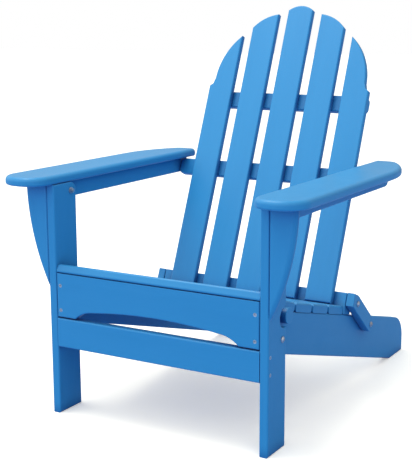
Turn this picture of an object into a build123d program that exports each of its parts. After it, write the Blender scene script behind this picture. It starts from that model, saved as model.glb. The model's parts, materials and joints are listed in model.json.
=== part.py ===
from build123d import *
import os
from math import asin, atan2, cos, degrees, hypot, radians, sin

# Folding adirondack chair in solid plastic lumber with stainless fasteners.
# X runs across, to the right seen from the front. Y runs to the rear and Z runs up.
# Until export, Y is measured from the front faces of the legs. Export moves the origin to the
# floor under the middle of the plan.

# ---- lumber and clearances -------------------------------------------------------------
BOARD = 22.2               # thickness of every board but the back slats
BACK_BOARD = 19.05         # thickness of the back slats
EASE = 4.0                 # radius on the long edges of the boards
SIDE_GAP = 0.5             # gap between boards that turn against each other
TURN_GAP = 0.05            # radial gap of a pivot hole round its bolt

# ---- layers across the chair, measured outwards from the middle plane ------------------
RAIL_OUT = 281.7           # outer face of a side rail
LEG_IN = RAIL_OUT + SIDE_GAP
LEG_OUT = LEG_IN + BOARD
ARM_RAIL_IN = LEG_OUT + SIDE_GAP
ARM_RAIL_OUT = ARM_RAIL_IN + BOARD
SEAT_HALF = RAIL_OUT - 0.2

# ---- front legs and the stretcher between them -----------------------------------------
LEG_DEPTH = 88.9
LEG_TOP = 580.5
TOP_RADIUS = 21.0          # rear top corner, round the arm pivot
STRETCHER_Z = (174.5, 249.0)
NOTCH_CENTRE = (83.0, 311.0)
NOTCH_RADIUS = 24.0
BOSS_CENTRE = (112.0, 307.0)
BOSS_RADIUS = 19.0
BOSS_LENGTH = 20.0

# ---- pivots, as (Y, Z) -----------------------------------------------------------------
LEG_PIVOT = (70.0, 262.0)
ARM_PIVOT = (LEG_DEPTH - TOP_RADIUS, LEG_TOP - TOP_RADIUS)
REAR_PIVOT = (632.0, 557.0)
LINK_TOP = (516.0, 241.0)
LINK_FOOT = (611.0, 162.0)
LINK_HALF = 20.7

# ---- seat ------------------------------------------------------------------------------
APRON_BOTTOM = 252.0
APRON_ARCH = (228.0, 205.0, 176.0)          # X where the arch starts, turns and flattens
APRON_RISE = (0.0, 15.0, 21.5, 33.0)        # heights of the arch at those places and mid span
SEAT_FRONT_Z = 364.7                        # top of the apron's front face
SLAT_WIDTH = 88.9
SLAT_GAP = 10.4
SEAT_SLOPES = (22.8, 18.8, 14.76, 14.76, 14.76)
SLAT_ROUND = 6.0                            # radius on the edges and ends of the seat slats
APRON_GAP = 1.5                             # between the apron and the seat slat above it
RAIL_UNDER = (202.1, 0.2955, 143.9)         # underside: height, fall per mm, at this Y
HEEL_Y = 928.0
HEEL_RADIUS = 72.0

# ---- back, in its own plane: X across, S up the front faces of the slats ----------------
BACK_ORIGIN = (509.0, 352.4)
BACK_TILT = 22.65
BACK_SLAT = 76.2
BACK_PITCH = 104.9
BACK_FOOT = -115.0
BAR_HEIGHT = 46.0
UPPER_BAR_S = 437.9
MIDDLE_BAR_S = 230.4
LOWER_BAR_HEIGHT = 50.8
LOWER_BAR_SKIRT = 8.0                       # further depth, before its underside is bevelled
RAIL_CLEARANCE = 0.6                        # between the lower crossbar and the rails
LOWER_BAR_TOP = -78.0
UPPER_BAR_HALF = 243.0
MIDDLE_BAR_HALF = ARM_RAIL_IN - SIDE_GAP
LOWER_BAR_HALF = RAIL_OUT - 0.2
BAR_CORNER = 14.0
CROWN = ((-38.1, 704.0), (0.0, 717.5), (38.1, 704.0))       # top of the middle slat
SHOULDER = ((66.8, 692.5), (109.5, 679.0), (143.0, 651.5))  # tops of slats two and four
WING = ((171.7, 626.5), (223.5, 550.0), (233.5, 489.0))     # tops of the outer slats
STEP = ((236.5, 478.0), (247.9, 470.0))                     # step back to the full width

# ---- arms ------------------------------------------------------------------------------
ARM_UNDER = LEG_TOP + SIDE_GAP
ARM_INNER = LEG_IN
ARM_OUTER = 407.0
ARM_FRONT = -66.0
ARM_REAR = 672.0
ARM_ROUND = (11.0, 6.0)                     # radius on the upper and lower edges
ARM_CORNERS = (60.0, 52.0, 35.0, 12.0)      # front outer, front inner, rear outer, rear inner
ARM_TAPER = (478.0, 314.0)                  # where the outer edge starts to curve in, its radius
ARM_RAIL_DEPTH = 43.0
ARM_RAIL_REAR = 655.0
BRACKET_CURVE = ((370.0, 580.5), (356.0, 462.0), (LEG_OUT, 320.0))
BRACKET_ROUND = 10.0                        # radius on the curved edge of an arm bracket
BRACKET_CHAMFER = 3.0                       # on its front edge against the leg

# ---- fasteners -------------------------------------------------------------------------
BOLT = 3.2                 # bolt shank radius
WASHER = (7.8, 1.4)        # radius, thickness
HEAD = (6.6, 3.8)          # domed bolt head: radius, height
NUT = (6.6, 5.6)           # across-corners radius, height
SCREW = 2.2
SCREW_HEAD = (4.6, 3.2)

PLAN_CENTRE_Y = (ARM_FRONT + HEEL_Y) / 2


# ---- small helpers ---------------------------------------------------------------------
def seat_points():
    """Corners of the faceted top edge of a side rail, front to rear, as (Y, Z)."""
    points = [(0.0, SEAT_FRONT_Z)]
    for index, slope in enumerate(SEAT_SLOPES):
        run = SLAT_WIDTH + (SLAT_GAP / 2 if index == 0 else SLAT_GAP)
        y, z = points[-1]
        points.append((y + run * cos(radians(slope)), z - run * sin(radians(slope))))
    return points


SEAT = seat_points()
LAST_FALL = sin(radians(SEAT_SLOPES[-1])) / cos(radians(SEAT_SLOPES[-1]))
BACK_PLANE = Plane(
    origin=(0, *BACK_ORIGIN),
    x_dir=(1, 0, 0),
    z_dir=(0, -cos(radians(BACK_TILT)), sin(radians(BACK_TILT))),
)


def under_z(y):
    """Height of a side rail's underside at Y."""
    height, fall, at_y = RAIL_UNDER
    return height - fall * (y - at_y)


def side_board(face, inner, thickness=BOARD):
    """A board standing along the chair: a (Y, Z) outline given thickness outwards in X."""
    return Pos(inner, 0, 0) * extrude(Plane.YZ * face, thickness)


def eased(board, axis, radius=EASE):
    """Round the long edges round both broad faces of a board."""
    ranked = board.faces().sort_by(axis)
    return fillet(ranked[0].edges() + ranked[-1].edges(), radius)


def mirrored(board):
    return mirror(board, about=Plane.YZ)


def pivot_hole(pivot, inner, outer, radius):
    """A cylinder across the chair at a pivot, from one X to another."""
    y, z = pivot
    return Pos((inner + outer) / 2, y, z) * Rot(0, 90, 0) * Cylinder(radius, abs(outer - inner))


def both_sides(part):
    """The part and its mirror image, as separate solids."""
    return [part, mirrored(part)]


def washer(pivot, inner):
    """A plain washer on a pivot, growing outwards from X = inner."""
    ring = Cylinder(WASHER[0], WASHER[1]) - Cylinder(BOLT, WASHER[1])
    return Pos(inner + WASHER[1] / 2, *pivot) * Rot(0, 90, 0) * ring


def nut(pivot, inner):
    """A hexagon nut on a pivot, growing outwards from X = inner."""
    hexagon = extrude(RegularPolygon(NUT[0], 6) - Circle(BOLT), NUT[1])
    hexagon = hexagon & Cylinder(NUT[0] - 0.5, NUT[1] * 3)
    return Pos(inner, *pivot) * Rot(0, 90, 0) * hexagon


def bolt(pivot, head_x, tip_x):
    """A domed bolt on a pivot: the head's seat at head_x, the shank's end at tip_x."""
    outwards = 1 if head_x > tip_x else -1
    dome_radius = (HEAD[0] ** 2 + HEAD[1] ** 2) / (2 * HEAD[1])
    dome = Pos(0, 0, HEAD[1] - dome_radius) * Sphere(dome_radius)
    dome = dome & Pos(0, 0, HEAD[1] / 2) * Cylinder(HEAD[0], HEAD[1])
    shank = Pos(0, 0, -abs(head_x - tip_x) / 2) * Cylinder(BOLT, abs(head_x - tip_x))
    socket = Pos(0, 0, HEAD[1] - 1.0) * extrude(RegularPolygon(2.3, 6), 3)
    return Pos(head_x, *pivot) * Rot(0, 90 * outwards, 0) * (dome + shank - socket)


def screw(length):
    """A countersunk screw along -Z, its head flush with Z = 0."""
    head_radius, head_depth = SCREW_HEAD
    head = Pos(0, 0, -head_depth / 2) * Cone(SCREW, head_radius, head_depth)
    shank = Pos(0, 0, -(length + head_depth) / 2) * Cylinder(SCREW, length - head_depth)
    return head + shank - Pos(0, 0, -1.8) * extrude(Rectangle(2.6, 2.6), 2)


def screw_room(length):
    """The hole that a screw fills, without its drive recess."""
    head_radius, head_depth = SCREW_HEAD
    head = Pos(0, 0, -head_depth / 2) * Cone(SCREW, head_radius, head_depth)
    return head + Pos(0, 0, -(length + head_depth) / 2) * Cylinder(SCREW, length - head_depth)


def facing(origin, direction):
    """A place for a screw whose head faces along direction."""
    return Location(Plane(origin=origin, z_dir=direction))


def drilled(board, places, length):
    """The board with a screw's room cut at each place."""
    for place in places:
        board = board - place * screw_room(length)
    return board


def mirror_place(x, y, z, direction):
    """The same screw place on the right and on the left."""
    dx, dy, dz = direction
    return [facing((x, y, z), direction), facing((-x, y, z), (-dx, dy, dz))]


# ---- seat frame ------------------------------------------------------------------------
RAIL_MID = RAIL_OUT - BOARD / 2
APRON_SCREWS = []
for screw_z in (332.0, 270.0):
    APRON_SCREWS += mirror_place(RAIL_MID, 0, screw_z, (0, -1, 0))
APRON_SCREW_LENGTH = 58.0
SEAT_SCREW_LENGTH = 52.0
SEAT_SCREW_X = RAIL_MID - 5.5
FRONT_SLAT_SCREWS = (48.0, 72.0)            # distances from the slat's front edge
OTHER_SLAT_SCREWS = (14.0, 66.0)
BOSS_SCREW_LENGTH = 36.0
BOSS_SCREWS = mirror_place(RAIL_OUT - BOARD, *BOSS_CENTRE, (-1, 0, 0))


def seat_slat_plane(index):
    """The plane of a seat slat's underside: origin at its front edge, X across, Y down the slope."""
    slope = radians(SEAT_SLOPES[index])
    start = 0.0 if index == 0 else SLAT_GAP / 2
    y, z = SEAT[index]
    origin = (0, y + start * cos(slope), z - start * sin(slope))
    return Plane(origin=origin, x_dir=(1, 0, 0), z_dir=(0, sin(slope), cos(slope)))


def seat_screw_places(index):
    """Two screws into each rail, from the top face of a seat slat."""
    plane = seat_slat_plane(index)
    places = []
    for along in FRONT_SLAT_SCREWS if index == 0 else OTHER_SLAT_SCREWS:
        top = plane.from_local_coords((0, along, BOARD))
        places += mirror_place(SEAT_SCREW_X, top.Y, top.Z, tuple(plane.z_dir))
    return places


def side_rail():
    """The right side rail: seat rail and rear foot in one board."""
    pivot_y, pivot_z = LEG_PIVOT
    clear = pivot_y - BOARD
    corner = 225.0
    corner_y = pivot_y + clear * cos(radians(corner))
    corner_z = pivot_z + clear * sin(radians(corner))
    slope = atan2(RAIL_UNDER[1], 1.0)
    drop = (pivot_z - under_z(pivot_y)) * cos(slope)
    half_chord = (clear ** 2 - drop ** 2) ** 0.5
    end_y = pivot_y - drop * sin(slope) - half_chord * cos(slope)
    heel_front = RAIL_UNDER[2] + RAIL_UNDER[0] / RAIL_UNDER[1]
    top_front = SEAT_FRONT_Z - BOARD * sin(radians(SEAT_SLOPES[0])) / cos(radians(SEAT_SLOPES[0]))
    last_y, last_z = SEAT[-1]
    rear_top = last_z - LAST_FALL * (HEEL_Y - last_y)
    middle_y = pivot_y + clear * cos(radians(196.0))
    middle_z = pivot_z + clear * sin(radians(196.0))
    with BuildSketch() as outline:
        with BuildLine():
            ThreePointArc((BOARD, pivot_z), (middle_y, middle_z), (end_y, under_z(end_y)))
            Polyline(
                (end_y, under_z(end_y)),
                (heel_front, 0),
                (HEEL_Y, 0),
                (HEEL_Y, rear_top),
                *reversed(SEAT[1:-1]),
                (BOARD, top_front),
                (BOARD, pivot_z),
            )
        make_face()
        rear = outline.vertices().filter_by_position(Axis.X, HEEL_Y - 1, HEEL_Y + 1)
        fillet(rear.sort_by(Axis.Y)[-1], HEEL_RADIUS)
    rail = eased(side_board(outline.sketch, RAIL_OUT - BOARD), Axis.X)
    rail = rail - pivot_hole(LEG_PIVOT, RAIL_OUT - BOARD, RAIL_OUT, BOLT)
    rail = rail - pivot_hole(LINK_FOOT, RAIL_OUT - BOARD, RAIL_OUT, BOLT)
    rail = drilled(rail, APRON_SCREWS[0::2], APRON_SCREW_LENGTH)
    for index in range(len(SEAT_SLOPES)):
        rail = drilled(rail, seat_screw_places(index)[0::2], SEAT_SCREW_LENGTH)
    return drilled(rail, BOSS_SCREWS[0::2], BOSS_SCREW_LENGTH)


def front_apron():
    """The board across the front of the seat, with an arched lower edge."""
    start, turn, flat = APRON_ARCH
    rises = [APRON_BOTTOM + rise for rise in APRON_RISE]
    with BuildSketch() as outline:
        with BuildLine():
            Polyline(
                (-start, rises[0]),
                (-SEAT_HALF, rises[0]),
                (-SEAT_HALF, SEAT_FRONT_Z),
                (SEAT_HALF, SEAT_FRONT_Z),
                (SEAT_HALF, rises[0]),
                (start, rises[0]),
            )
            ThreePointArc((start, rises[0]), (turn, rises[1]), (flat, rises[2]))
            ThreePointArc((flat, rises[2]), (0, rises[3]), (-flat, rises[2]))
            ThreePointArc((-flat, rises[2]), (-turn, rises[1]), (-start, rises[0]))
        make_face()
    board = extrude(Plane.XZ * outline.sketch, -BOARD)
    ranked = board.faces().sort_by(Axis.Y)
    lower = [edge for edge in ranked[0].edges() if edge.center().Z < SEAT_FRONT_Z - 1]
    board = fillet(lower, EASE)
    above = Pos(0, 0, 50 - APRON_GAP) * Box(2 * SEAT_HALF + 20, 200, 100)
    board = board - seat_slat_plane(0) * above
    board = fillet(board.edges().filter_by(Axis.X).group_by(Axis.Z)[-2], EASE)
    return drilled(board, APRON_SCREWS, APRON_SCREW_LENGTH)


def seat_slat(index):
    """One seat slat, rounded along its edges and over its ends."""
    plane = seat_slat_plane(index)
    outline = Pos(0, SLAT_WIDTH / 2) * Rectangle(2 * SEAT_HALF, SLAT_WIDTH)
    slat = extrude(outline, BOARD)
    upper = slat.faces().sort_by(Axis.Z)[-1].edges()
    lower = slat.faces().sort_by(Axis.Z)[0].edges().filter_by(Axis.X)
    slat = fillet(upper + lower, SLAT_ROUND)
    return drilled(plane * slat, seat_screw_places(index), SEAT_SCREW_LENGTH)


def leg_boss():
    """The round block behind a front leg, on the right."""
    block = fillet(Cylinder(BOSS_RADIUS, BOSS_LENGTH).edges().sort_by(Axis.Z)[-1], 2.0)
    block = Pos(RAIL_OUT + BOSS_LENGTH / 2, *BOSS_CENTRE) * Rot(0, 90, 0) * block
    return drilled(block, BOSS_SCREWS[0::2], BOSS_SCREW_LENGTH)


# ---- legs ------------------------------------------------------------------------------
STRETCHER_SCREW_LENGTH = 55.0
STRETCHER_SCREWS = []
for screw_z in (194.0, 235.0):
    STRETCHER_SCREWS += mirror_place(LEG_OUT, BOARD / 2, screw_z, (1, 0, 0))


def front_leg():
    """The right front leg, notched in its rear edge above the pivot."""
    outline = Pos(LEG_DEPTH / 2, LEG_TOP / 2) * Rectangle(LEG_DEPTH, LEG_TOP)
    outline = fillet(outline.vertices().sort_by(Axis.Y)[-2:].sort_by(Axis.X)[-1], TOP_RADIUS)
    outline = outline - Pos(*NOTCH_CENTRE) * Circle(NOTCH_RADIUS)
    leg = eased(side_board(outline, LEG_IN), Axis.X)
    leg = leg - pivot_hole(LEG_PIVOT, LEG_IN, LEG_OUT, BOLT + TURN_GAP)
    leg = leg - pivot_hole(ARM_PIVOT, LEG_IN, LEG_OUT, BOLT)
    return drilled(leg, STRETCHER_SCREWS[0::2], STRETCHER_SCREW_LENGTH)


def stretcher():
    """The board between the legs, under the apron."""
    low, high = STRETCHER_Z
    board = Pos(0, BOARD / 2, (low + high) / 2) * Box(2 * LEG_IN, BOARD, high - low)
    board = fillet(board.edges().filter_by(Axis.X), EASE)
    return drilled(board, STRETCHER_SCREWS, STRETCHER_SCREW_LENGTH)


def arm_bracket():
    """The curved bracket on the outer face of the right leg, under the arm."""
    top, middle, tip = BRACKET_CURVE
    with BuildSketch() as outline:
        with BuildLine():
            ThreePointArc(top, middle, tip)
            Polyline(tip, (LEG_OUT, LEG_TOP), top)
        make_face()
    bracket = extrude(Plane.XZ * outline.sketch, -BOARD)
    bracket = fillet(bracket.edges().filter_by(GeomType.CIRCLE), BRACKET_ROUND)
    side = BRACKET_CHAMFER * 2 ** 0.5
    corner = Pos(LEG_OUT, 0, LEG_TOP / 2) * Rot(0, 0, 45) * Box(side, side, LEG_TOP + 10)
    return bracket - corner


# ---- arms ------------------------------------------------------------------------------
ARM_SCREW_LENGTH = 56.0
ARM_SCREWS = [
    facing((ARM_RAIL_IN + BOARD / 2, y, ARM_UNDER - ARM_RAIL_DEPTH), (0, 0, -1))
    for y in (130.0, 330.0, 530.0)
]


def arm():
    """The right arm, with its edges well rounded."""
    front_outer, front_inner, rear_outer, rear_inner = ARM_CORNERS
    taper_start, taper_radius = ARM_TAPER
    centre_x = ARM_OUTER - taper_radius
    turn = asin((ARM_REAR - taper_start) / taper_radius)
    middle = (centre_x + taper_radius * cos(turn / 2), taper_start + taper_radius * sin(turn / 2))
    tip = (centre_x + taper_radius * cos(turn), ARM_REAR)
    with BuildSketch() as sketch:
        with BuildLine():
            ThreePointArc((ARM_OUTER, taper_start), middle, tip)
            Polyline(
                tip,
                (ARM_INNER, ARM_REAR),
                (ARM_INNER, ARM_FRONT),
                (ARM_OUTER, ARM_FRONT),
                (ARM_OUTER, taper_start),
            )
        make_face()
    outline = sketch.sketch
    outline = fillet(near_corner(outline, ARM_OUTER, ARM_FRONT), front_outer)
    outline = fillet(near_corner(outline, ARM_INNER, ARM_FRONT), front_inner)
    outline = fillet(near_corner(outline, ARM_INNER, ARM_REAR), rear_inner)
    outline = fillet(near_corner(outline, *tip), rear_outer)
    board = Pos(0, 0, ARM_UNDER) * extrude(outline, BOARD)
    upper_round, lower_round = ARM_ROUND
    board = fillet(board.faces().sort_by(Axis.Z)[-1].edges(), upper_round)
    board = fillet(board.faces().sort_by(Axis.Z)[0].edges(), lower_round)
    return drilled(board, ARM_SCREWS, ARM_SCREW_LENGTH)


def near_corner(outline, x, y):
    """The corner of a flat outline nearest to a point."""
    return outline.vertices().sort_by_distance((x, y, 0))[0]


def arm_rail():
    """The board under the right arm, outboard of the leg, its front end round the arm pivot."""
    pivot_y, pivot_z = ARM_PIVOT
    reach = pivot_y - BOARD - SIDE_GAP
    low = ARM_UNDER - ARM_RAIL_DEPTH
    length = ARM_RAIL_REAR - (pivot_y - reach)
    outline = Pos(ARM_RAIL_REAR - length / 2, low + ARM_RAIL_DEPTH / 2) * Rectangle(
        length, ARM_RAIL_DEPTH
    )
    nose = Pos(pivot_y, pivot_z) * Circle(reach)
    behind = Pos(pivot_y + length / 2, pivot_z) * Rectangle(length, 4 * reach)
    outline = outline & (nose + behind)
    outline = fillet(near_corner(outline, ARM_RAIL_REAR, low), 20.0)
    rail = side_board(outline, ARM_RAIL_IN)
    lower = [edge for edge in rail.edges() if edge.center().Z < ARM_UNDER - 1]
    long_lower = [edge for edge in lower if abs(edge.center().X - ARM_RAIL_IN - BOARD / 2) > 1]
    rail = fillet([edge for edge in long_lower if edge.length > 300], EASE)
    rail = rail - pivot_hole(ARM_PIVOT, ARM_RAIL_IN, ARM_RAIL_OUT, BOLT)
    rail = rail - pivot_hole(REAR_PIVOT, ARM_RAIL_IN, ARM_RAIL_OUT, BOLT + TURN_GAP)
    return drilled(rail, ARM_SCREWS, ARM_SCREW_LENGTH)


# ---- links -----------------------------------------------------------------------------
def link():
    """The slanting link on the right, squared off at the top to sit flush with the back."""
    top_y, top_z = LINK_TOP
    foot_y, foot_z = LINK_FOOT
    run = hypot(foot_y - top_y, foot_z - top_z)
    slant = degrees(atan2(foot_z - top_z, foot_y - top_y))
    extra = 60.0
    bar = Pos(foot_y, foot_z) * Rot(0, 0, slant) * (
        Pos(-(run + extra) / 2, 0) * Rectangle(run + extra, 2 * LINK_HALF) + Circle(LINK_HALF)
    )
    board = side_board(bar, LEG_IN)
    behind = Pos(LEG_IN + BOARD / 2, LOWER_BAR_TOP - 200, -BACK_BOARD - 200) * Box(50, 400, 400)
    keep = BACK_PLANE * behind
    board = eased(board & keep, Axis.X, 2.5)
    board = board - pivot_hole(LINK_TOP, LEG_IN, LEG_OUT, BOLT + TURN_GAP)
    return board - pivot_hole(LINK_FOOT, LEG_IN, LEG_OUT, BOLT + TURN_GAP)


# ---- back ------------------------------------------------------------------------------
def slat_outline(side):
    """Outline of a back slat in the back's plane, for the slats from the middle to the right."""
    right = side * BACK_PITCH + BACK_SLAT / 2
    left = right - BACK_SLAT
    start, middle, end = (CROWN, SHOULDER, WING)[side]
    step = ((), (), STEP)[side]
    with BuildSketch() as outline:
        with BuildLine():
            ThreePointArc((left, start[1]), middle, end)
            Polyline(end, *step, (right, BACK_FOOT), (left, BACK_FOOT), (left, start[1]))
        make_face()
    return outline.sketch


def bar_screw_places(centre_s, depth):
    """Two screws into each back slat, from the rear face of a crossbar."""
    behind = tuple(-BACK_PLANE.z_dir)
    places = []
    for index in range(5):
        for across in (-17.0, 17.0):
            local = ((index - 2) * BACK_PITCH + across, centre_s, -depth)
            places.append(facing(tuple(BACK_PLANE.from_local_coords(local)), behind))
    return places


UPPER_SCREWS = bar_screw_places(UPPER_BAR_S, BACK_BOARD + BOARD)
MIDDLE_SCREWS = bar_screw_places(MIDDLE_BAR_S, BACK_BOARD + BOARD)
LOWER_SCREWS = bar_screw_places(LOWER_BAR_TOP - 12.0, BACK_BOARD + 2 * BOARD)
THIN_BAR_SCREW = 36.0
THICK_BAR_SCREW = 58.0
LINK_BOLT_DEPTH = 55.0                      # how far the link's top bolt enters the lower bar
REAR_BOLT_DEPTH = 60.0                      # how far the arm's rear bolt enters the middle bar


def back_slat(index):
    """One back slat, drilled for the screws of its three crossbars."""
    slat = extrude(slat_outline(abs(index - 2)), -BACK_BOARD)
    ranked = slat.faces().sort_by(Axis.Z)
    rims = ranked[0].edges() + ranked[-1].edges()
    slat = fillet([edge for edge in rims if edge.length > 20], EASE)
    slat = BACK_PLANE * (mirrored(slat) if index < 2 else slat)
    pair = slice(2 * index, 2 * index + 2)
    slat = drilled(slat, UPPER_SCREWS[pair], THIN_BAR_SCREW)
    slat = drilled(slat, MIDDLE_SCREWS[pair], THIN_BAR_SCREW)
    return drilled(slat, LOWER_SCREWS[pair], THICK_BAR_SCREW)


def crossbar(centre_s, half, height, thickness, corner):
    """A bar across the rear of the slats."""
    outline = Pos(0, centre_s) * Rectangle(2 * half, height)
    outline = fillet(outline.vertices(), corner)
    bar = BACK_PLANE * Pos(0, 0, -BACK_BOARD) * extrude(outline, -thickness)
    return eased(bar, Axis((0, 0, 0), tuple(BACK_PLANE.z_dir)))


def upper_crossbar():
    bar = crossbar(UPPER_BAR_S, UPPER_BAR_HALF, BAR_HEIGHT, BOARD, BAR_CORNER)
    return drilled(bar, UPPER_SCREWS, THIN_BAR_SCREW)


def middle_crossbar():
    """The bar at arm height; its ends carry the rear arm bolts."""
    bar = crossbar(MIDDLE_BAR_S, MIDDLE_BAR_HALF, BAR_HEIGHT, BOARD, BAR_CORNER)
    hole = pivot_hole(REAR_PIVOT, MIDDLE_BAR_HALF - REAR_BOLT_DEPTH, MIDDLE_BAR_HALF, BOLT)
    bar = bar - hole - mirrored(hole)
    return drilled(bar, MIDDLE_SCREWS, THIN_BAR_SCREW)


def lower_crossbar():
    """The thick bar at the foot of the back, bevelled to lie along the rails. It turns on the links."""
    height = LOWER_BAR_HEIGHT + LOWER_BAR_SKIRT
    centre_s = LOWER_BAR_TOP - height / 2
    bar = crossbar(centre_s, LOWER_BAR_HALF, height, 2 * BOARD, 4.0)
    last_y, last_z = SEAT[-1]
    rail_top = Plane(
        origin=(0, last_y, last_z + RAIL_CLEARANCE),
        x_dir=(1, 0, 0),
        z_dir=(0, sin(radians(SEAT_SLOPES[-1])), cos(radians(SEAT_SLOPES[-1]))),
    )
    bar = bar - rail_top * Pos(0, 0, -50) * Box(2 * LOWER_BAR_HALF + 20, 400, 100)
    hole = pivot_hole(LINK_TOP, LOWER_BAR_HALF - LINK_BOLT_DEPTH, LOWER_BAR_HALF, BOLT)
    bar = bar - hole - mirrored(hole)
    return drilled(bar, LOWER_SCREWS, THICK_BAR_SCREW)


# ---- pivot hardware --------------------------------------------------------------------
def leg_pivot_bolt():
    return bolt(LEG_PIVOT, LEG_OUT + 0.2 + WASHER[1], RAIL_OUT - BOARD - WASHER[1] - NUT[1] - 2)


def leg_pivot_washers():
    return [washer(LEG_PIVOT, LEG_OUT + 0.2), washer(LEG_PIVOT, RAIL_OUT - BOARD - WASHER[1])]


def link_foot_bolt():
    return bolt(LINK_FOOT, LEG_OUT + 0.2 + WASHER[1], RAIL_OUT - BOARD - WASHER[1] - NUT[1] - 2)


def link_foot_washers():
    return [washer(LINK_FOOT, LEG_OUT + 0.2), washer(LINK_FOOT, RAIL_OUT - BOARD - WASHER[1])]


def arm_front_bolt():
    """The outer half of the open pivot's bolt: it stops level with the inner face of the arm rail."""
    return bolt(ARM_PIVOT, ARM_RAIL_OUT + WASHER[1], ARM_RAIL_IN)


def arm_front_stud():
    """The inner half of the open pivot's bolt: it fills the leg and carries the nut."""
    return pivot_hole(ARM_PIVOT, LEG_IN - WASHER[1] - NUT[1] - 2, LEG_OUT, BOLT)


def link_top_bolt():
    return bolt(LINK_TOP, LEG_OUT + 0.2 + WASHER[1], LOWER_BAR_HALF - LINK_BOLT_DEPTH)


def arm_rear_bolt():
    return bolt(REAR_PIVOT, ARM_RAIL_OUT + 0.2 + WASHER[1], MIDDLE_BAR_HALF - REAR_BOLT_DEPTH)


def screws_at(places, length):
    return [place * screw(length) for place in places]


def pairs(*parts):
    """Every part and its mirror image."""
    return [side for part in parts for side in both_sides(part)]


# ---- export ----------------------------------------------------------------------------
def write(name, shape):
    """Write one node, moved so that the origin is on the floor under the middle of the plan."""
    solids = shape if isinstance(shape, list) else [shape]
    moved = [Pos(0, -PLAN_CENTRE_Y, 0) * solid for solid in solids]
    result = moved[0] if len(moved) == 1 else Compound(children=moved)
    export_step(result, os.path.join("parts", name + ".step"))


def write_pair(name, right):
    write(name + "_right", right)
    write(name + "_left", mirrored(right))


os.makedirs("parts", exist_ok=True)

write_pair("side_rail", side_rail())
write("front_apron", front_apron())
seat_screw_list = []
for number in range(len(SEAT_SLOPES)):
    write(f"seat_slat_{number + 1}", seat_slat(number))
    seat_screw_list += screws_at(seat_screw_places(number), SEAT_SCREW_LENGTH)
write("seat_screws", seat_screw_list)
write("apron_screws", screws_at(APRON_SCREWS, APRON_SCREW_LENGTH))
write_pair("leg_boss", leg_boss())
write("boss_screws", screws_at(BOSS_SCREWS, BOSS_SCREW_LENGTH))
write("leg_pivot_bolts", pairs(leg_pivot_bolt()))
write("leg_pivot_washers", pairs(*leg_pivot_washers()))
write("leg_pivot_nuts", pairs(nut(LEG_PIVOT, RAIL_OUT - BOARD - WASHER[1] - NUT[1])))
write("link_foot_bolts", pairs(link_foot_bolt()))
write("link_foot_washers", pairs(*link_foot_washers()))
write("link_foot_nuts", pairs(nut(LINK_FOOT, RAIL_OUT - BOARD - WASHER[1] - NUT[1])))

write_pair("front_leg", front_leg())
write("stretcher", stretcher())
write_pair("arm_bracket", arm_bracket())
write("stretcher_screws", screws_at(STRETCHER_SCREWS, STRETCHER_SCREW_LENGTH))
write("arm_front_studs", pairs(arm_front_stud()))
write("arm_front_inner_washers", pairs(washer(ARM_PIVOT, LEG_IN - WASHER[1])))
write("arm_front_nuts", pairs(nut(ARM_PIVOT, LEG_IN - WASHER[1] - NUT[1])))

write_pair("arm", arm())
write_pair("arm_rail", arm_rail())
write("arm_screws_right", screws_at(ARM_SCREWS, ARM_SCREW_LENGTH))
write("arm_screws_left", [mirrored(part) for part in screws_at(ARM_SCREWS, ARM_SCREW_LENGTH)])
write_pair("arm_front_bolt", arm_front_bolt())
write_pair("arm_front_washer", washer(ARM_PIVOT, ARM_RAIL_OUT))

write_pair("link", link())

for number in range(5):
    write(f"back_slat_{number + 1}", back_slat(number))
write("upper_crossbar", upper_crossbar())
write("middle_crossbar", middle_crossbar())
write("lower_crossbar", lower_crossbar())
back_screw_list = screws_at(UPPER_SCREWS + MIDDLE_SCREWS, THIN_BAR_SCREW)
write("back_screws", back_screw_list + screws_at(LOWER_SCREWS, THICK_BAR_SCREW))
write("link_top_bolts", pairs(link_top_bolt()))
write("link_top_washers", pairs(washer(LINK_TOP, LEG_OUT + 0.2)))
write("arm_rear_bolts", pairs(arm_rear_bolt()))
write("arm_rear_washers", pairs(washer(REAR_PIVOT, ARM_RAIL_OUT + 0.2)))
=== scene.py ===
import json
import math

import bpy
from mathutils import Matrix, Vector


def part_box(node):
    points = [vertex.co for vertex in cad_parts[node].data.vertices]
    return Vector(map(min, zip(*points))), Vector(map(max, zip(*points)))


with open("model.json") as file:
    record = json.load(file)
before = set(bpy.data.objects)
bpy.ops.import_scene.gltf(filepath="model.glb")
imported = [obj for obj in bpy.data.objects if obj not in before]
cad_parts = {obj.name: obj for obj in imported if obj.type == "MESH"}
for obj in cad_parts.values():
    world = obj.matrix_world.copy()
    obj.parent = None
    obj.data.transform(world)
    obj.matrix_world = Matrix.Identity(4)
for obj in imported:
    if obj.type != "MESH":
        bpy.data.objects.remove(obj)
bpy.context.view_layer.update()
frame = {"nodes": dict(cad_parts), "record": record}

# ---- look of the lumber: moulded-in blue with a drawn grain, satin ------------------------------
# Colours are linear. Pale is painted on outer edges, as edge wear together with a painted highlight;
# shade is painted shade in crevices and between parts.
BLUE = (0.024, 0.266, 0.575)
BLUE_DEEP = (0.019, 0.244, 0.540)
BLUE_PALE_WEAR_AND_HIGHLIGHT = (0.060, 0.325, 0.660)
BLUE_PAINTED_SHADE = (0.002, 0.060, 0.270)
STEEL = (0.70, 0.72, 0.75)
STEEL_DARK = (0.36, 0.37, 0.40)
STREAK_SIZE = (0.060, 0.0016, 0.0016)
BAND_SIZE = (0.42, 0.030, 0.030)
SPECKLE_SCALE = 900.0
CLOUD_SCALE = 9.0
BAND_SHARE = 0.6
EDGE_WIDTH = 0.0035
PAINTED_SHADE_REACH = 0.040
LUMBER_SPECULAR = 0.34
LUMBER_ROUGHNESS = (0.29, 0.37)
GRAIN_DEPTH = 0.0006
BRUSH_SIZE = (0.0004, 0.004, 0.0004)
BRUSH_DEPTH = 0.0002
SEED_STEP = (0.37, 0.61, 0.83)

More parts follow.
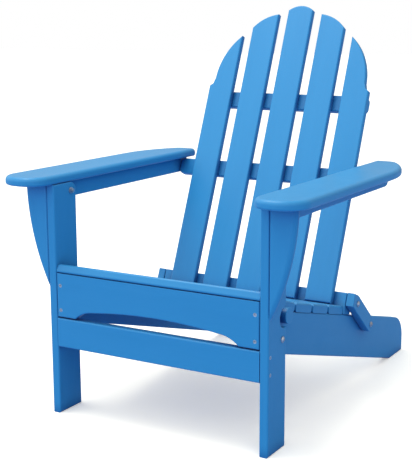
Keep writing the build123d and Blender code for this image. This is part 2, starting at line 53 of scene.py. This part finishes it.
# ---- camera: front right of the chair, a little above the seat -----------------------------------
CAMERA_PLACE = Vector((1.3214, -2.4213, 0.9610))
CAMERA_LOOK = Vector((-0.48174, 0.85408, -0.19620))
CAMERA_LENS = 92.1
CAMERA_SHIFT = (-0.050, 0.0063)

# ---- studio: the room grows brighter towards one direction, and the floor is pale ---------------
ROOM_BRIGHT_SIDE = (-0.25, -0.58, 0.77)
ROOM_DIRECTIONS = (-0.45, 1.0)
ROOM_RANGE = (0.24, 1.42)
KEY_COLOUR = (1.0, 0.98, 0.86)
KEY_PLACE = (-1.3, -0.6, 3.9)
KEY_SIZE = 2.0
KEY_POWER = 70.0
FLOOR_WHITE = (0.95, 0.94, 0.86)
FLOOR_BOUNCE = (0.24, 0.38, 0.66)
FLOOR_GLOW = 0.33
FLOOR_HALF = 30.0
LIGHT_TARGET = (0.0, 0.0, 0.4)


def long_axis(name, slope=0.0):
    """The direction in which a board's grain runs: its longest side, or down a slope along Y."""
    if slope:
        return Vector((0.0, math.cos(slope), -math.sin(slope)))
    low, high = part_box(name)
    size = [high[i] - low[i] for i in range(3)]
    axis = [0.0, 0.0, 0.0]
    axis[size.index(max(size))] = 1.0
    return Vector(axis)


def new_material(name):
    material = bpy.data.materials.new(name)
    material.use_nodes = True
    nodes = material.node_tree.nodes
    nodes.clear()
    output = nodes.new("ShaderNodeOutputMaterial")
    shader = nodes.new("ShaderNodeBsdfPrincipled")
    material.node_tree.links.new(shader.outputs["BSDF"], output.inputs["Surface"])
    return material, nodes, material.node_tree.links, shader


def mapped(nodes, links, stretch, turn, offset):
    """Object coordinates turned so that X runs along the grain, then scaled."""
    coordinates = nodes.new("ShaderNodeTexCoord")
    mapping = nodes.new("ShaderNodeMapping")
    mapping.vector_type = "TEXTURE"
    mapping.inputs["Rotation"].default_value = turn
    mapping.inputs["Location"].default_value = offset
    mapping.inputs["Scale"].default_value = stretch
    links.new(coordinates.outputs["Object"], mapping.inputs["Vector"])
    return mapping.outputs["Vector"]


def noise(nodes, links, vector, scale, detail, rough=0.55):
    texture = nodes.new("ShaderNodeTexNoise")
    texture.inputs["Scale"].default_value = scale
    texture.inputs["Detail"].default_value = detail
    texture.inputs["Roughness"].default_value = rough
    links.new(vector, texture.inputs["Vector"])
    return texture.outputs["Fac"]


def span(nodes, links, value, low, high, to_low, to_high):
    """A value mapped from one range to another."""
    node = nodes.new("ShaderNodeMapRange")
    node.inputs["From Min"].default_value = low
    node.inputs["From Max"].default_value = high
    node.inputs["To Min"].default_value = to_low
    node.inputs["To Max"].default_value = to_high
    links.new(value, node.inputs["Value"])
    return node.outputs["Result"]


def blend_colour(nodes, links, factor, first, second):
    node = nodes.new("ShaderNodeMix")
    node.data_type = "RGBA"
    links.new(factor, node.inputs["Factor"])
    for socket, colour in ((node.inputs["A"], first), (node.inputs["B"], second)):
        if isinstance(colour, tuple):
            socket.default_value = (*colour, 1.0)
        else:
            links.new(colour, socket)
    return node.outputs["Result"]


def math_node(nodes, links, operation, first, second):
    node = nodes.new("ShaderNodeMath")
    node.operation = operation
    for socket, value in ((node.inputs[0], first), (node.inputs[1], second)):
        if isinstance(value, float):
            socket.default_value = value
        else:
            links.new(value, socket)
    return node.outputs["Value"]


def edge_mask(nodes, links, radius):
    """1 on outer edges and 0 on flat faces."""
    bevel = nodes.new("ShaderNodeBevel")
    bevel.samples = 4
    bevel.inputs["Radius"].default_value = radius
    geometry = nodes.new("ShaderNodeNewGeometry")
    dot = nodes.new("ShaderNodeVectorMath")
    dot.operation = "DOT_PRODUCT"
    links.new(bevel.outputs["Normal"], dot.inputs[0])
    links.new(geometry.outputs["Normal"], dot.inputs[1])
    return span(nodes, links, dot.outputs["Value"], 0.995, 0.90, 0.0, 1.0)


def lumber(name, grain, seed):
    """Plastic lumber with its grain along a direction; seed moves the pattern from board to board."""
    material, nodes, links, shader = new_material("lumber_" + name)
    turn = Vector((1.0, 0.0, 0.0)).rotation_difference(grain).to_euler()
    offset = tuple(step * seed for step in SEED_STEP)
    fine = mapped(nodes, links, STREAK_SIZE, turn, offset)
    broad = mapped(nodes, links, BAND_SIZE, turn, offset)
    even = mapped(nodes, links, (1.0, 1.0, 1.0), turn, offset)
    streaks = noise(nodes, links, fine, 1.0, 3.0)
    bands = noise(nodes, links, broad, 1.0, 2.0)
    speckle = noise(nodes, links, even, SPECKLE_SCALE, 2.0)
    clouds = noise(nodes, links, even, CLOUD_SCALE, 3.0)
    edges = edge_mask(nodes, links, EDGE_WIDTH)

    tone = math_node(nodes, links, "MULTIPLY", bands, BAND_SHARE)
    fine_tone = math_node(nodes, links, "MULTIPLY", streaks, 1.0 - BAND_SHARE)
    tone = math_node(nodes, links, "ADD", tone, fine_tone)
    tone = span(nodes, links, tone, 0.25, 0.75, 0.0, 1.0)
    colour = blend_colour(nodes, links, tone, BLUE_DEEP, BLUE)
    # Outer edges are painted pale, patchily: edge wear together with a painted highlight on the rounded
    # edges.
    wear_and_highlight = math_node(nodes, links, "MULTIPLY", edges, span(nodes, links, clouds, 0.35, 0.65, 0.2, 0.75))
    colour = blend_colour(nodes, links, wear_and_highlight, colour, BLUE_PALE_WEAR_AND_HIGHLIGHT)
    # Painted shade: near other surfaces (crevices, gaps between parts) ambient occlusion darkens the
    # colour towards the dark shade blue.
    painted_shade_ao = nodes.new("ShaderNodeAmbientOcclusion")
    painted_shade_ao.samples = 6
    painted_shade_ao.inputs["Distance"].default_value = PAINTED_SHADE_REACH
    unshaded = span(nodes, links, painted_shade_ao.outputs["AO"], 0.22, 0.86, 0.0, 1.0)
    colour = blend_colour(nodes, links, unshaded, BLUE_PAINTED_SHADE, colour)
    links.new(colour, shader.inputs["Base Color"])

    gloss = span(nodes, links, clouds, 0.3, 0.7, *LUMBER_ROUGHNESS)
    gloss = math_node(nodes, links, "ADD", gloss, math_node(nodes, links, "MULTIPLY", streaks, 0.08))
    links.new(gloss, shader.inputs["Roughness"])
    shader.inputs["IOR"].default_value = 1.5
    shader.inputs["Specular IOR Level"].default_value = LUMBER_SPECULAR
    shader.inputs["Sheen Weight"].default_value = 0.06
    shader.inputs["Sheen Roughness"].default_value = 0.5

    height = math_node(nodes, links, "ADD", streaks, math_node(nodes, links, "MULTIPLY", speckle, 0.35))
    bump = nodes.new("ShaderNodeBump")
    bump.inputs["Strength"].default_value = 0.30
    bump.inputs["Distance"].default_value = GRAIN_DEPTH
    links.new(height, bump.inputs["Height"])
    links.new(bump.outputs["Normal"], shader.inputs["Normal"])
    return material


def stainless(name):
    """Satin stainless steel for the bolts and screws."""
    material, nodes, links, shader = new_material("steel_" + name)
    even = mapped(nodes, links, (1.0, 1.0, 1.0), (0.0, 0.0, 0.0), (0.2, 0.4, 0.6))
    brushed = mapped(nodes, links, BRUSH_SIZE, (0.0, 0.0, 0.0), (0.1, 0.3, 0.5))
    clouds = noise(nodes, links, even, 160.0, 3.0)
    lines = noise(nodes, links, brushed, 1.0, 2.0)
    tone = span(nodes, links, clouds, 0.35, 0.70, 0.0, 1.0)
    links.new(blend_colour(nodes, links, tone, STEEL_DARK, STEEL), shader.inputs["Base Color"])
    links.new(span(nodes, links, lines, 0.3, 0.7, 0.30, 0.46), shader.inputs["Roughness"])
    shader.inputs["Metallic"].default_value = 1.0
    bump = nodes.new("ShaderNodeBump")
    bump.inputs["Strength"].default_value = 0.15
    bump.inputs["Distance"].default_value = BRUSH_DEPTH
    links.new(lines, bump.inputs["Height"])
    links.new(bump.outputs["Normal"], shader.inputs["Normal"])
    return material


# ---- grain directions --------------------------------------------------------------------------
RAIL_SLOPE = math.radians(15.6)
BACK_TILT = math.radians(22.65)
LINK_SLOPE = math.radians(39.7)
BACK_RISE = Vector((0.0, math.sin(BACK_TILT), math.cos(BACK_TILT)))


def grain_of(name):
    """The direction of the grain in a board, by its name."""
    if name.startswith("side_rail"):
        return long_axis(name, RAIL_SLOPE)
    if name.startswith("link_"):
        return long_axis(name, LINK_SLOPE)
    if name.startswith("back_slat"):
        return BACK_RISE
    if name.startswith("arm_bracket"):
        return Vector((0.0, 0.0, 1.0))
    return long_axis(name)


def paint(node, material):
    """Give a piece one material in place of its own."""
    node.data.materials.clear()
    node.data.materials.append(material)


slots = {entry["node"]: entry["material_slot"] for entry in frame["record"]["subparts"]}
steel = stainless("fastener")
for number, name in enumerate(sorted(frame["nodes"])):
    node = frame["nodes"][name]
    if slots.get(name) == "steel":
        paint(node, steel)
    else:
        paint(node, lumber(name, grain_of(name), number + 1.0))


# ---- floor, light and camera -------------------------------------------------------------------
def plain_floor():
    """A pale floor. Seen directly it is nearly white; what it throws back is weaker and bluish."""
    mesh = bpy.data.meshes.new("floor")
    half = FLOOR_HALF
    corners = [(-half, -half, 0.0), (half, -half, 0.0), (half, half, 0.0), (-half, half, 0.0)]
    mesh.from_pydata(corners, [], [(0, 1, 2, 3)])
    floor = bpy.data.objects.new("floor", mesh)
    bpy.context.scene.collection.objects.link(floor)
    material, nodes, links, shader = new_material("floor_white")
    path = nodes.new("ShaderNodeLightPath")
    seen = path.outputs["Is Camera Ray"]
    links.new(
        blend_colour(nodes, links, seen, FLOOR_BOUNCE, FLOOR_WHITE),
        shader.inputs["Base Color"],
    )
    shader.inputs["Emission Color"].default_value = (1.0, 1.0, 1.0, 1.0)
    links.new(
        math_node(nodes, links, "MULTIPLY", seen, FLOOR_GLOW),
        shader.inputs["Emission Strength"],
    )
    shader.inputs["Roughness"].default_value = 0.9
    shader.inputs["Specular IOR Level"].default_value = 0.1
    paint(floor, material)


def area_light(name, place, target, size, power):
    data = bpy.data.lights.new(name, "AREA")
    data.shape = "SQUARE"
    data.size = size
    data.energy = power
    data.color = KEY_COLOUR
    light = bpy.data.objects.new(name, data)
    light.location = place
    direction = Vector(target) - Vector(place)
    light.rotation_euler = direction.to_track_quat("-Z", "Y").to_euler()
    bpy.context.scene.collection.objects.link(light)


def studio():
    """A white room, brightest above and in front, with one large soft light overhead."""
    world = bpy.data.worlds.new("studio")
    world.use_nodes = True
    nodes = world.node_tree.nodes
    links = world.node_tree.links
    background = nodes["Background"]
    background.inputs["Color"].default_value = (1.0, 1.0, 1.0, 1.0)
    coordinates = nodes.new("ShaderNodeTexCoord")
    aim = nodes.new("ShaderNodeVectorMath")
    aim.operation = "DOT_PRODUCT"
    aim.inputs[1].default_value = ROOM_BRIGHT_SIDE
    links.new(coordinates.outputs["Generated"], aim.inputs[0])
    light = span(nodes, links, aim.outputs["Value"], *ROOM_DIRECTIONS, *ROOM_RANGE)
    path = nodes.new("ShaderNodeLightPath")
    mix = nodes.new("ShaderNodeMix")
    links.new(path.outputs["Is Camera Ray"], mix.inputs["Factor"])
    links.new(light, mix.inputs["A"])
    mix.inputs["B"].default_value = 1.0
    links.new(mix.outputs["Result"], background.inputs["Strength"])
    bpy.context.scene.world = world
    area_light("key", KEY_PLACE, LIGHT_TARGET, KEY_SIZE, KEY_POWER)
    bpy.context.scene.view_settings.view_transform = "Standard"


def camera():
    data = bpy.data.cameras.new("camera")
    data.sensor_fit = "HORIZONTAL"
    data.sensor_width = 36.0
    data.lens = CAMERA_LENS
    data.shift_x, data.shift_y = CAMERA_SHIFT
    data.clip_start = 0.05
    data.clip_end = 60.0
    item = bpy.data.objects.new("camera", data)
    item.location = CAMERA_PLACE
    item.rotation_euler = CAMERA_LOOK.to_track_quat("-Z", "Y").to_euler()
    bpy.context.scene.collection.objects.link(item)
    bpy.context.scene.camera = item


plain_floor()
studio()
camera()
